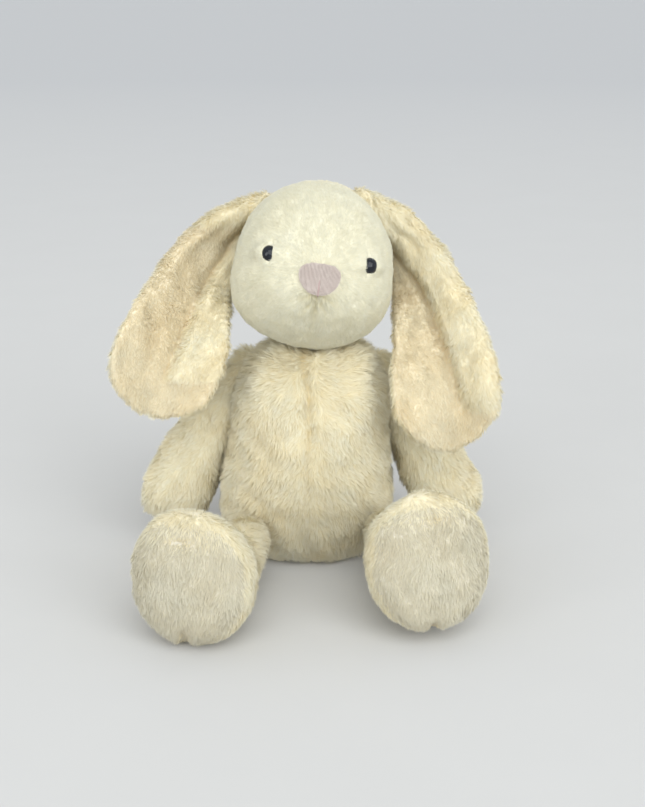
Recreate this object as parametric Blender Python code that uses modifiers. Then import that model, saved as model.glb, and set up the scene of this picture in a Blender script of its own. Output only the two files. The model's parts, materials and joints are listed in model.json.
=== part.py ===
"""A sitting plush rabbit with floppy ears, built as the sewn panels, fillings and fittings it is made of.

Frame: +Z up, the rabbit looks along -Y, and its own left is +X. The origin is on the floor, under the torso.
Metres throughout. Run it with: blender --background --python part.py
"""

import math

import bmesh
import bpy
import numpy as np
from mathutils import Matrix, Vector
from mathutils.bvhtree import BVHTree

# ---- driving dimensions, in metres ----
FABRIC = 0.0022  # backing and packed pile of one plush panel
SEAM_GAP = 0.0003  # between two panels that are sewn edge to edge
LINING_GAP = 0.0012  # between a cover and what it holds
HIP_GAP, SHOULDER_GAP = 0.0028, 0.0044  # between a limb's root and the torso it is sewn to

TORSO_HEIGHT = 0.1405
SEAT_BEANS_TOP = 0.034  # the bean bag fills the torso up to here
TORSO_SIDE_SEAM_Y = 0.004  # the torso's side seams lie in this plane
BELLY_SEAM_X = -0.004
NECK_PIVOT = Vector((-0.001, -0.004, 0.1440))
NECK_RING_RADIUS = 0.0100

HEAD_CENTRE = Vector((-0.0005, -0.015, 0.1970))
HEAD_HEIGHT = 0.107
HEAD_TURN, HEAD_NOD, HEAD_TILT = math.radians(5), math.radians(-10), math.radians(8)
NECK_OPENING_RADIUS = 0.0120
HEAD_SIDE_SEAM_Y = 0.012  # the head's side seams lie in this plane
EYE_RADIUS = 0.0052
NOSE_WIDTH, NOSE_HEIGHT = 0.024, 0.0180

ARM_LENGTH = 0.134
LEG_LENGTH = 0.130
ARM_ROOT_RADIUS, LEG_ROOT_RADIUS = 0.0090, 0.0110
ROOT_RING_RADIUS = 0.0042  # the ring of stitches a limb turns on
NECK_RING_WAVE, ROOT_RING_WAVE = 0.0004, 0.0003  # how far the stitches rise and fall round each ring
FILLING_START = 0.0055  # a limb's filling starts this far from the point it turns about
LIMB_OPENING = 0.012  # where a limb is open at its sewn root, as a share of its length
FOOT_HALF_WIDTH, FOOT_HALF_HEIGHT = 0.0370, 0.0415
SOLE_DEPTH = 0.009  # how far behind the tip of the foot the sole panel's seam runs
SOLE_LEAN = {"right": 0.08, "left": 0.28}  # how far the top of each sole leans back, as a share of its height
THREAD_RADIUS = 0.0006
POLE_RADIUS = 0.0004  # a ring smaller than this closes to a point
ROOM = 0.5  # a length beyond every panel, for the boxes that cut them


# ---- small helpers ----
def clear_scene():
    for obj in list(bpy.data.objects):
        bpy.data.objects.remove(obj)


def new_collection(name):
    collection = bpy.data.collections.new(name)
    bpy.context.scene.collection.children.link(collection)
    return collection


def material(name, colour, roughness, metallic=0.0):
    mat = bpy.data.materials.new(name)
    mat.use_nodes = True
    shader = mat.node_tree.nodes["Principled BSDF"]
    shader.inputs["Base Color"].default_value = (*colour, 1)
    shader.inputs["Roughness"].default_value = roughness
    shader.inputs["Metallic"].default_value = metallic
    return mat


def smooth_between(stations, t):
    """The row at t along stations, each (t, value, ...), eased so that the form has no corner there."""
    rows = np.array(stations, float)
    x = rows[:, 0]
    slopes = np.gradient(rows[:, 1:], x, axis=0)
    i = int(np.clip(np.searchsorted(x, t) - 1, 0, len(x) - 2))
    step = x[i + 1] - x[i]
    s = (t - x[i]) / step
    start, end = rows[i, 1:], rows[i + 1, 1:]
    return (
        (2 * s**3 - 3 * s**2 + 1) * start
        + (s**3 - 2 * s**2 + s) * step * slopes[i]
        + (3 * s**2 - 2 * s**3) * end
        + (s**3 - s**2) * step * slopes[i + 1]
    )


def rounding(t, start, end):
    """How much of its full radius a form has at t, with elliptical ends over the shares start and end."""
    factor = 1.0
    if start > 0 and t < start:
        factor *= math.sqrt(max(0.0, 1 - ((start - t) / start) ** 2))
    if end > 0 and t > 1 - end:
        factor *= math.sqrt(max(0.0, 1 - ((t - 1 + end) / end) ** 2))
    return factor


class Form:
    """A stuffed shape: elliptical rings stacked along local Z.

    stations: (t, centre x, centre y, half width, half depth). start and end are the shares that round off.
    """

    def __init__(self, length, stations, start=0.0, end=0.0, base_z=0.0, power=2.0):
        self.length, self.stations = length, stations
        self.start, self.end = start, end
        self.base_z, self.power = base_z, power

    def ring(self, t):
        """Centre, half width and half depth at t."""
        cx, cy, rx, ry = smooth_between(self.stations, t)
        factor = rounding(t, self.start, self.end)
        return Vector((cx, cy, self.base_z + t * self.length)), rx * factor, ry * factor

    def levels(self, rings, low, high):
        """Ring heights between low and high, closer together where the ends round off."""
        turn = [math.pi * i / (rings - 1) for i in range(rings)]
        return [low + (high - low) * (1 - math.cos(a)) / 2 for a in turn]

    def surface(self, sides, rings, low=0.0, high=1.0, cap_start=True, cap_end=True):
        """A bmesh of the form between low and high, with its faces out, open or closed at each end."""
        shape = bmesh.new()
        loops = []
        for t in self.levels(rings, low, high):
            centre, rx, ry = self.ring(t)
            if max(rx, ry) < POLE_RADIUS:
                loops.append([shape.verts.new(centre)] * sides)
                continue
            loop = []
            for k in range(sides):
                angle = 2 * math.pi * (k + 0.5) / sides
                c, s = math.cos(angle), math.sin(angle)
                x = math.copysign(abs(c) ** (2 / self.power), c) * rx
                y = math.copysign(abs(s) ** (2 / self.power), s) * ry
                loop.append(shape.verts.new(centre + Vector((x, y, 0))))
            loops.append(loop)
        for lower, upper in zip(loops, loops[1:]):
            for k in range(sides):
                following = (k + 1) % sides
                corners = (lower[k], lower[following], upper[following], upper[k])
                shape.faces.new(dict.fromkeys(corners))
        if cap_start and loops[0][0] is not loops[0][1]:
            shape.faces.new(list(reversed(loops[0])))
        if cap_end and loops[-1][0] is not loops[-1][1]:
            shape.faces.new(loops[-1])
        return shape


def bulge(shape, centre, reach, push):
    """Pushes the surface round centre along push, fading over reach."""
    for vert in shape.verts:
        away = (vert.co - centre).length / reach
        vert.co += push * math.exp(-away * away)


def shrunk(shape, inset):
    """Draws every face of a closed shape in by inset."""
    shape.normal_update()
    moves = [(vert, vert.normal * inset * vert.calc_shell_factor()) for vert in shape.verts]
    for vert, move in moves:
        vert.co -= move
    return shape


def cut_away(shape, point, normal):
    """Removes what lies on the normal's side of a plane from a closed shape, and closes the cut."""
    geometry = shape.verts[:] + shape.edges[:] + shape.faces[:]
    made = bmesh.ops.bisect_plane(shape, geom=geometry, plane_co=point, plane_no=normal, clear_outer=True)
    edges = [item for item in made["geom_cut"] if isinstance(item, bmesh.types.BMEdge)]
    bmesh.ops.holes_fill(shape, edges=edges, sides=0)


def add_object(shape, name, collection, mat, place=None, smooth=True):
    """Turns a bmesh into an object of the collection, placed by its matrix."""
    if all(edge.is_manifold for edge in shape.edges):
        bmesh.ops.recalc_face_normals(shape, faces=shape.faces)
    mesh = bpy.data.meshes.new(name)
    shape.to_mesh(mesh)
    shape.free()
    if smooth:
        mesh.shade_smooth()
    mesh.materials.append(mat)
    obj = bpy.data.objects.new(name, mesh)
    collection.objects.link(obj)
    if place is not None:
        obj.matrix_world = place
    return obj


def thicken(obj, thickness=FABRIC, outward=False):
    """Gives an open panel its cloth thickness, inward unless told otherwise."""
    modifier = obj.modifiers.new("cloth", "SOLIDIFY")
    modifier.thickness = thickness
    modifier.offset = 1.0 if outward else -1.0
    modifier.use_even_offset = True
    return obj


def cut(obj, cutter, operation="DIFFERENCE"):
    """Cuts a closed panel with a hidden solid, or keeps only what lies inside it."""
    cutter.hide_render = True
    cutter.display_type = "WIRE"
    modifier = obj.modifiers.new(cutter.name, "BOOLEAN")
    modifier.operation = operation
    modifier.solver = "MANIFOLD"
    modifier.object = cutter


def add_panels(surface, regions, collection, cutters, mat, place=None):
    """Cuts one thick cover into panels. regions: (name, low corner, high corner) in the cover's own axes."""
    made = {}
    for name, low, high in regions:
        panel = thicken(add_object(surface(), name, collection, mat, place))
        box = bmesh.new()
        bmesh.ops.create_cube(box, size=1.0)
        low, high = Vector(low), Vector(high)
        bmesh.ops.scale(box, vec=high - low, verts=box.verts)
        bmesh.ops.translate(box, vec=(low + high) / 2, verts=box.verts)
        cut(panel, add_object(box, f"{name}_outline", cutters, mat, place, smooth=False), "INTERSECT")
        made[name] = panel
    return made


def turned(name, profile, collection, mat, place, steps=16):
    """A solid of revolution about local Z. Its (radius, height) profile meets the axis or closes up."""
    mesh = bpy.data.meshes.new(name)
    closed = profile[0] == profile[-1]
    points = [(radius, 0, height) for radius, height in (profile[:-1] if closed else profile)]
    edges = [(i, (i + 1) % len(points)) for i in range(len(profile) - 1)]
    mesh.from_pydata(points, edges, [])
    mesh.materials.append(mat)
    obj = bpy.data.objects.new(name, mesh)
    collection.objects.link(obj)
    screw = obj.modifiers.new("turn", "SCREW")
    screw.steps = screw.render_steps = steps
    screw.use_merge_vertices = True
    screw.merge_threshold = 0.00005
    obj.matrix_world = place
    return obj


def thread_ring(name, radius, collection, mat, place, wave=0.0):
    """The closed round of ladder stitches that holds one stuffed piece to another."""
    points = 20
    curve = bpy.data.curves.new(name, "CURVE")
    curve.dimensions = "3D"
    curve.bevel_depth = THREAD_RADIUS
    curve.bevel_resolution = 0
    spline = curve.splines.new("POLY")
    spline.points.add(points - 1)
    for k, point in enumerate(spline.points):
        angle = 2 * math.pi * k / points
        swell = radius + wave * (1 if k % 2 else -1)
        point.co = (swell * math.cos(angle), swell * math.sin(angle), 0, 1)
    spline.use_cyclic_u = True
    curve.materials.append(mat)
    obj = bpy.data.objects.new(name, curve)
    collection.objects.link(obj)
    obj.matrix_world = place
    return obj


def looking_along(direction, across):
    """A rotation whose local Z runs along direction and whose local X stays nearest to across."""
    z = direction.normalized()
    x = (across - z * across.dot(z)).normalized()
    y = z.cross(x)
    return Matrix((x, y, z)).transposed().to_4x4()


# ---- torso ----
TORSO = Form(
    TORSO_HEIGHT,
    [
        # (share of the height, centre x, centre y, half width, half depth)
        (0.00, -0.004, 0.002, 0.0420, 0.0370),
        (0.08, -0.005, 0.002, 0.0520, 0.0460),
        (0.32, -0.006, -0.002, 0.0570, 0.0500),
        (0.54, -0.004, -0.003, 0.0520, 0.0460),
        (0.74, -0.002, -0.002, 0.0470, 0.0400),
        (0.87, -0.001, -0.003, 0.0400, 0.0335),
        (0.95, -0.001, -0.003, 0.0280, 0.0240),
        (1.00, -0.001, -0.004, 0.0125, 0.0120),
    ],
)


def torso_surface(**ends):
    return TORSO.surface(24, 12, **ends)


def build_torso(collection, cutters, mats):
    """Two front panels that meet at the belly seam, a back panel, the filling and the seat's bean bag."""
    half = SEAM_GAP / 2
    front, back = TORSO_SIDE_SEAM_Y - half, TORSO_SIDE_SEAM_Y + half
    regions = [
        ("torso_front_left_panel", (BELLY_SEAM_X + half, -ROOM, -ROOM), (ROOM, front, ROOM)),
        ("torso_front_right_panel", (-ROOM, -ROOM, -ROOM), (BELLY_SEAM_X - half, front, ROOM)),
        ("torso_back_panel", (-ROOM, back, -ROOM), (ROOM, ROOM, ROOM)),
    ]
    add_panels(lambda: torso_surface(cap_end=False), regions, collection, cutters, mats["plush"])

    for name, slot, side in (("torso_filling", "filling", -1), ("seat_bean_bag", "bean_bag", 1)):
        core = shrunk(torso_surface(), FABRIC + LINING_GAP)
        cut_away(core, Vector((0, 0, SEAT_BEANS_TOP - side * half)), Vector((0, 0, side)))
        add_object(core, name, collection, mats[slot])


def tree_of(shape):
    """The surface as a tree that rays can be cast at."""
    shape.normal_update()
    tree = BVHTree.FromBMesh(shape)
    shape.free()
    return tree


def surface_hit(tree, start, direction):
    """Where a ray from inside a form first meets its surface, and the outward normal there."""
    point, normal, _, _ = tree.ray_cast(start, direction.normalized())
    return point, normal


def sewn_place(height, direction, distance):
    """A point off the torso, straight out from where a line in that direction leaves it at that height."""
    point, normal = surface_hit(tree_of(torso_surface()), Vector((0, 0, height)), Vector(direction))
    return point + normal * distance, normal


def build_tail(collection, cutters, mats):
    """A round pompom sewn low on the back: a plush cover round a ball of filling."""
    radius = 0.0175
    centre, normal = sewn_place(0.036, (0, 1, 0), radius + 0.0008)
    place = Matrix.Translation(centre) @ looking_along(normal, Vector((1, 0, 0)))
    cover = bmesh.new()
    bmesh.ops.create_uvsphere(cover, u_segments=14, v_segments=9, radius=radius)
    cover_obj = thicken(add_object(cover, "tail_cover", collection, mats["plush"], place))
    gathered = bmesh.new()  # the cover's small gathered mouth faces the back panel
    bmesh.ops.create_cone(gathered, cap_ends=True, segments=8, radius1=0.003, radius2=0.003, depth=0.008)
    mouth = place @ Matrix.Translation((0, 0, -radius))
    cut(cover_obj, add_object(gathered, "tail_mouth", cutters, mats["thread"], mouth, smooth=False))
    ball = bmesh.new()
    bmesh.ops.create_uvsphere(ball, u_segments=10, v_segments=7, radius=radius - FABRIC - LINING_GAP)
    add_object(ball, "tail_filling", collection, mats["filling"], place)


def build_label(collection, mats):
    """A blank folded care label that stands out of the back, low and to the left of the tail."""
    length, width, thickness = 0.020, 0.013, 0.0008
    centre, normal = sewn_place(0.020, (0.80, 1, 0), length / 2 + 0.0015)
    outward = Vector((normal.x, normal.y, 0))
    shape = bmesh.new()
    bmesh.ops.create_cube(shape, size=1.0)
    bmesh.ops.scale(shape, vec=(length, thickness, width), verts=shape.verts)
    turn = Matrix.Rotation(math.atan2(outward.y, outward.x), 4, "Z")
    place = Matrix.Translation(centre) @ turn
    label = add_object(shape, "care_label", collection, mats["label"], place, smooth=False)
    bevel = label.modifiers.new("folded_edges", "BEVEL")
    bevel.width = 0.0003
    bevel.segments = 1


# ---- head ----
HEAD = Form(
    HEAD_HEIGHT,
    [
        (0.00, 0, 0.004, 0.0560, 0.0480),
        (0.18, 0, 0.001, 0.0565, 0.0490),
        (0.34, 0, 0.000, 0.0540, 0.0480),
        (0.50, 0, 0.000, 0.0505, 0.0465),
        (0.70, 0, 0.001, 0.0495, 0.0460),
        (1.00, 0, 0.004, 0.0490, 0.0450),
    ],
    start=0.46,
    end=0.46,
    base_z=-HEAD_HEIGHT / 2,
)
HEAD_PLACE = (
    Matrix.Translation(HEAD_CENTRE)
    @ Matrix.Rotation(HEAD_TURN, 4, "Z")
    @ Matrix.Rotation(HEAD_NOD, 4, "X")
    @ Matrix.Rotation(HEAD_TILT, 4, "Y")
)
MUZZLE_CENTRE = Vector((0, -0.047, -0.014))
NOSE_HEIGHT_ON_HEAD = -0.0050
EYE_DIRECTION = Vector((0.625, -0.74, 0.10))  # the left eye's, from the head's centre


def head_surface():
    """The head's form with its low muzzle pushed out."""
    shape = HEAD.surface(24, 13)
    bulge(shape, MUZZLE_CENTRE, 0.026, Vector((0, -0.0060, 0)))
    return shape


def build_head(collection, cutters, mats):
    """Left and right face panels, a back panel and the filling, with the eyes and nose fitted on."""
    half = SEAM_GAP / 2
    front, back = HEAD_SIDE_SEAM_Y - half, HEAD_SIDE_SEAM_Y + half
    regions = [
        ("head_left_panel", (half, -ROOM, -ROOM), (ROOM, front, ROOM)),
        ("head_right_panel", (-ROOM, -ROOM, -ROOM), (-half, front, ROOM)),
        ("head_back_panel", (-ROOM, back, -ROOM), (ROOM, ROOM, ROOM)),
    ]
    panels = add_panels(head_surface, regions, collection, cutters, mats["plush"], HEAD_PLACE)
    opening = bmesh.new()
    radius, depth = NECK_OPENING_RADIUS, 0.02
    bmesh.ops.create_cone(opening, cap_ends=True, segments=20, radius1=radius, radius2=radius, depth=depth)
    place = Matrix.Translation(NECK_PIVOT)
    opening = add_object(opening, "neck_opening", cutters, mats["thread"], place, smooth=False)
    for panel in panels.values():
        cut(panel, opening)
    core = shrunk(head_surface(), FABRIC + LINING_GAP)
    filling = add_object(core, "head_filling", collection, mats["filling"], HEAD_PLACE)
    for side, sign in (("left", 1), ("right", -1)):
        build_eye(side, sign, panels[f"head_{side}_panel"], filling, collection, cutters, mats)
    build_nose(collection, mats)


def build_eye(side, sign, panel, filling, collection, cutters, mats):
    """A safety eye: a dome on a stem that passes through the face and holds a washer behind it."""
    stem_radius, stem_length = 0.0018, 0.0110
    washer_radius, washer_thickness, washer_depth = 0.0058, 0.0010, 0.0052
    seat = 0.0003  # the dome's flat back stands this far off the fabric
    aim = Vector((sign * EYE_DIRECTION.x, EYE_DIRECTION.y, EYE_DIRECTION.z))
    spot, normal = surface_hit(tree_of(head_surface()), Vector((0, 0, 0)), aim)
    place = HEAD_PLACE @ Matrix.Translation(spot) @ looking_along(normal, Vector((1, 0, 0)))

    arc = [math.pi / 2 * i / 6 for i in range(7)]
    dome = [(EYE_RADIUS * math.sin(a), seat + 0.85 * EYE_RADIUS * math.cos(a)) for a in arc]
    point = 0.001  # the length of the stem's tapered end
    stem = [
        (stem_radius, seat),
        (stem_radius, point - stem_length),
        (0.6 * stem_radius, -stem_length),
        (0, -stem_length),
    ]
    turned(f"{side}_eye", dome + stem, collection, mats["eye"], place)

    inner = stem_radius + 0.00015
    section = [
        (inner, 0),
        (inner, washer_thickness),
        (washer_radius, washer_thickness),
        (washer_radius, 0),
        (inner, 0),
    ]
    behind = place @ Matrix.Translation((0, 0, -washer_depth))
    turned(f"{side}_eye_washer", section, collection, mats["washer"], behind)

    for target, radius in ((panel, stem_radius + SEAM_GAP), (filling, washer_radius + SEAM_GAP)):
        hole = bmesh.new()
        depth = 2 * (stem_length + point)
        bmesh.ops.create_cone(hole, cap_ends=True, segments=16, radius1=radius, radius2=radius, depth=depth)
        name = f"{side}_hole_in_{target.name}"
        cut(target, add_object(hole, name, cutters, mats["washer"], place, smooth=False))


def build_nose(collection, mats):
    """A padded satin-stitch shield on the tip of the muzzle, squarer across the top and rounder below."""
    lift, pad = 0.0009, 0.0014
    rows, steps = 4, 20
    tree = tree_of(head_surface())
    shape = bmesh.new()

    def on_face(x, z):
        point, normal = surface_hit(tree, Vector((x, 0, NOSE_HEIGHT_ON_HEAD + z)), Vector((0, -1, 0)))
        return shape.verts.new(point + normal * lift)

    outline = []
    for k in range(steps):
        angle = 2 * math.pi * k / steps
        c, s = math.cos(angle), math.sin(angle)
        corner = 0.72 if s > 0 else 0.76
        half_width = NOSE_WIDTH / 2 * (1 - 0.24 * max(0.0, -s))
        half_height = NOSE_HEIGHT * (0.42 if s > 0 else 0.58)
        x = half_width * math.copysign(abs(c) ** corner, c)
        z = half_height * math.copysign(abs(s) ** corner, s)
        outline.append((x, z))
    centre = on_face(0, 0)
    loops = [[on_face(x * row / rows, z * row / rows) for x, z in outline] for row in range(1, rows + 1)]
    for k in range(steps):
        following = (k + 1) % steps
        shape.faces.new((centre, loops[0][k], loops[0][following]))
        for inner, outer in zip(loops, loops[1:]):
            shape.faces.new((inner[k], outer[k], outer[following], inner[following]))
    thicken(add_object(shape, "nose_embroidery", collection, mats["nose"], HEAD_PLACE), pad, outward=True)


# ---- ears ----
EAR_PANEL = 0.0024
EAR_STATIONS = {
    # (share of the length, spine x, y and z, half width, how far both edges curl forward,
    #  how far the outer edge is turned forward, in radians)
    "right": [
        (0.00, -0.0410, 0.008, 0.2385, 0.0060, 0.001, 0.30),
        (0.07, -0.0490, 0.012, 0.2350, 0.0085, 0.001, 0.25),
        (0.16, -0.0560, 0.016, 0.2250, 0.0120, 0.002, 0.20),
        (0.27, -0.0655, 0.016, 0.2090, 0.0165, 0.003, 0.20),
        (0.40, -0.0750, 0.008, 0.1880, 0.0225, 0.005, 0.20),
        (0.54, -0.0820, -0.014, 0.1700, 0.0275, 0.009, 0.15),
        (0.72, -0.0915, -0.038, 0.1450, 0.0330, 0.012, 0.10),
        (0.88, -0.0995, -0.049, 0.1225, 0.0290, 0.009, 0.00),
        (1.00, -0.1035, -0.052, 0.1095, 0.0080, 0.001, 0.00),
    ],
    "left": [
        (0.00, 0.0385, 0.008, 0.2390, 0.0060, 0.001, 0.30),
        (0.07, 0.0465, 0.012, 0.2355, 0.0085, 0.001, 0.25),
        (0.16, 0.0535, 0.016, 0.2250, 0.0120, 0.002, 0.20),
        (0.27, 0.0610, 0.016, 0.2060, 0.0155, 0.003, 0.20),
        (0.40, 0.0700, 0.008, 0.1840, 0.0205, 0.005, 0.20),
        (0.57, 0.0765, -0.018, 0.1555, 0.0265, 0.010, 0.15),
        (0.74, 0.0805, -0.040, 0.1280, 0.0310, 0.012, 0.10),
        (0.90, 0.0815, -0.050, 0.1020, 0.0270, 0.009, 0.00),
        (1.00, 0.0805, -0.053, 0.0865, 0.0080, 0.001, 0.00),
    ],
}


def ear_sheet(side, along=14, across=8):
    """The middle surface of an ear: a leaf that hangs along its spine, turned and curled forward."""
    sheet = bmesh.new()
    outward = 1 if side == "right" else -1  # the edge at v = 1 is the right ear's outer one
    reach = 0.02  # how far apart, as a share, the two points lie that give the spine's direction
    rows = []
    for i in range(along + 1):
        t = i / along
        x, y, z, half_width, curl, turn = smooth_between(EAR_STATIONS[side], t)
        above = smooth_between(EAR_STATIONS[side], max(t - reach, 0.0))
        below = smooth_between(EAR_STATIONS[side], min(t + reach, 1.0))
        tangent = Vector(below[:3] - above[:3])
        sideways = Vector((0, 1, 0)).cross(tangent).normalized()
        backward = tangent.cross(sideways).normalized()
        across_ear = sideways * math.cos(turn) - backward * outward * math.sin(turn)
        row = []
        for k in range(across + 1):
            v = 2 * k / across - 1
            place = Vector((x, y, z)) + across_ear * half_width * v - backward * curl * v * v
            row.append(sheet.verts.new(place))
        rows.append(row)
    for upper, lower in zip(rows, rows[1:]):
        for k in range(across):
            sheet.faces.new((upper[k], upper[k + 1], lower[k + 1], lower[k]))
    sheet.normal_update()
    if sum(face.normal.y for face in sheet.faces) > 0:
        bmesh.ops.reverse_faces(sheet, faces=sheet.faces)
        sheet.normal_update()
    return sheet


def build_ear(side, collection, mats):
    """A lining and a back panel, sewn together round the edge, so that they lie face to face."""
    for part, slot, front in (("lining", "lining", 1), ("back", "plush", -1)):
        sheet = ear_sheet(side)
        moves = [(vert, vert.normal * front * SEAM_GAP / 2) for vert in sheet.verts]
        for vert, move in moves:
            vert.co += move
        panel = add_object(sheet, f"{side}_ear_{part}", collection, mats[slot])
        thicken(panel, EAR_PANEL, outward=front > 0)


# ---- arms ----
ARM = Form(
    ARM_LENGTH,
    [
        (0.00, 0, 0, ARM_ROOT_RADIUS, ARM_ROOT_RADIUS),
        (0.12, 0, 0, 0.0110, 0.0120),
        (0.30, 0, 0, 0.0120, 0.0140),
        (0.55, 0, 0, 0.0160, 0.0170),
        (0.78, 0, 0, 0.0195, 0.0195),
        (1.00, 0, 0, 0.0205, 0.0200),
    ],
    start=0.07,
    end=0.17,
    base_z=-ARM_ROOT_RADIUS,
)
SHOULDER_HEIGHT = 0.1220
SHOULDER_DIRECTION = {"right": (-1, 0.17, 0), "left": (1, 0.17, 0)}
HAND = {"right": Vector((-0.1000, 0.001, 0.0325)), "left": Vector((0.0940, 0.001, 0.0325))}


def root_ring(name, place, collection, mats):
    """The gathered ring of stitches inside a limb's mouth, centred on the point the limb turns about."""
    thread_ring(name, ROOT_RING_RADIUS, collection, mats["thread"], place, ROOT_RING_WAVE)


def build_arm(side, collection, cutters, mats):
    """An inner and an outer panel, stuffed, and gathered onto a ring of stitches at the shoulder."""
    pivot, _ = sewn_place(SHOULDER_HEIGHT, SHOULDER_DIRECTION[side], ARM_ROOT_RADIUS + SHOULDER_GAP)
    place = Matrix.Translation(pivot) @ looking_along(HAND[side] - pivot, Vector((1, 0, 0)))
    half = SEAM_GAP / 2
    regions = [
        (f"{side}_arm_front_panel", (-ROOM, half, -ROOM), (ROOM, ROOM, ROOM)),
        (f"{side}_arm_back_panel", (-ROOM, -ROOM, -ROOM), (ROOM, -half, ROOM)),
    ]

    def cover():
        return ARM.surface(16, 10, low=LIMB_OPENING, cap_start=False)

    add_panels(cover, regions, collection, cutters, mats["plush"], place)
    core = shrunk(ARM.surface(16, 10), FABRIC + LINING_GAP)
    cut_away(core, Vector((0, 0, FILLING_START)), Vector((0, 0, -1)))
    add_object(core, f"{side}_arm_filling", collection, mats["filling"], place)
    root_ring(f"{side}_shoulder_stitching", place, collection, mats)


# ---- legs ----
LEG = Form(
    LEG_LENGTH,
    [
        (0.00, 0, 0.000, LEG_ROOT_RADIUS, LEG_ROOT_RADIUS),
        (0.15, 0, 0.000, 0.0145, 0.0140),
        (0.40, 0, 0.000, 0.0205, 0.0195),
        (0.54, 0, 0.002, 0.0235, 0.0230),
        (0.67, 0, 0.009, 0.0310, 0.0335),
        (0.80, 0, 0.0138, 0.0362, 0.0405),
        (1.00, 0, 0.0145, FOOT_HALF_WIDTH, FOOT_HALF_HEIGHT),
    ],
    start=0.09,
    end=0.18,
    base_z=-LEG_ROOT_RADIUS,
    power=2.15,
)
HIP_HEIGHT = 0.0290
HIP_DIRECTION = {"right": (-0.66, -0.75, 0), "left": (0.76, -0.65, 0)}
FOOT = {"right": Vector((-0.0720, -0.1500, 0.0275)), "left": Vector((0.0670, -0.1350, 0.0330))}
FOOT_BEANS_DEPTH = 0.030  # the pellets lie in the front of the foot


def leg_surface(side, **ends):
    """The leg and its big foot, whose sole leans back."""
    shape = LEG.surface(20, 14, **ends)
    ankle, tip = 0.55 * LEG_LENGTH, LEG_LENGTH - LEG_ROOT_RADIUS
    for vert in shape.verts:
        share = min(max((vert.co.z - ankle) / (tip - ankle), 0.0), 1.0)
        vert.co.z -= SOLE_LEAN[side] * share * vert.co.y
    return shape


def build_leg(side, collection, cutters, mats):
    """A leg cover, the sole panel that closes it, filling, and pellets behind the sole."""
    pivot, _ = sewn_place(HIP_HEIGHT, HIP_DIRECTION[side], LEG_ROOT_RADIUS + HIP_GAP)
    place = Matrix.Translation(pivot) @ looking_along(FOOT[side] - pivot, Vector((1, 0, 0)))
    sole_plane = LEG_LENGTH - LEG_ROOT_RADIUS - SOLE_DEPTH
    half = SEAM_GAP / 2
    regions = [
        (f"{side}_leg_cover", (-ROOM, -ROOM, -ROOM), (ROOM, ROOM, sole_plane - half)),
        (f"{side}_foot_sole", (-ROOM, -ROOM, sole_plane + half), (ROOM, ROOM, ROOM)),
    ]

    def cover():
        return leg_surface(side, low=LIMB_OPENING, cap_start=False)

    add_panels(cover, regions, collection, cutters, mats["plush"], place)

    split = LEG_LENGTH - LEG_ROOT_RADIUS - FOOT_BEANS_DEPTH
    filling = shrunk(leg_surface(side), FABRIC + LINING_GAP)
    cut_away(filling, Vector((0, 0, FILLING_START)), Vector((0, 0, -1)))
    cut_away(filling, Vector((0, 0, split - half)), Vector((0, 0, 1)))
    add_object(filling, f"{side}_leg_filling", collection, mats["filling"], place)
    beans = shrunk(leg_surface(side), FABRIC + LINING_GAP)
    cut_away(beans, Vector((0, 0, split + half)), Vector((0, 0, -1)))
    add_object(beans, f"{side}_foot_bean_bag", collection, mats["bean_bag"], place)
    root_ring(f"{side}_hip_stitching", place, collection, mats)


def main():
    clear_scene()
    rabbit = new_collection("plush_rabbit")
    cutters = new_collection("cutters")
    mats = {
        "plush": material("cream_plush", (0.86, 0.79, 0.58), 0.95),
        "lining": material("ear_lining_plush", (0.84, 0.74, 0.54), 0.95),
        "filling": material("fibre_filling", (0.90, 0.90, 0.88), 0.9),
        "bean_bag": material("pellet_pouch", (0.82, 0.82, 0.80), 0.85),
        "nose": material("pink_embroidery", (0.72, 0.55, 0.54), 0.55),
        "eye": material("black_eye", (0.012, 0.012, 0.016), 0.08),
        "washer": material("washer_plastic", (0.80, 0.80, 0.78), 0.4),
        "thread": material("cream_thread", (0.84, 0.78, 0.62), 0.7),
        "label": material("label_satin", (0.92, 0.92, 0.90), 0.5),
    }
    build_torso(rabbit, cutters, mats)
    build_tail(rabbit, cutters, mats)
    build_label(rabbit, mats)
    place = Matrix.Translation(NECK_PIVOT)
    thread_ring("neck_stitching", NECK_RING_RADIUS, rabbit, mats["thread"], place, NECK_RING_WAVE)
    build_head(rabbit, cutters, mats)
    for side in ("left", "right"):
        build_ear(side, rabbit, mats)
        build_arm(side, rabbit, cutters, mats)
        build_leg(side, rabbit, cutters, mats)


main()
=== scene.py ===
"""Looks of the sitting plush rabbit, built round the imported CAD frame. Metres, Z up, the rabbit faces -Y."""

import json
import math

import bmesh
import bpy
import numpy as np
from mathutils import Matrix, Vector
from mathutils.bvhtree import BVHTree
from mathutils.kdtree import KDTree


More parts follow.
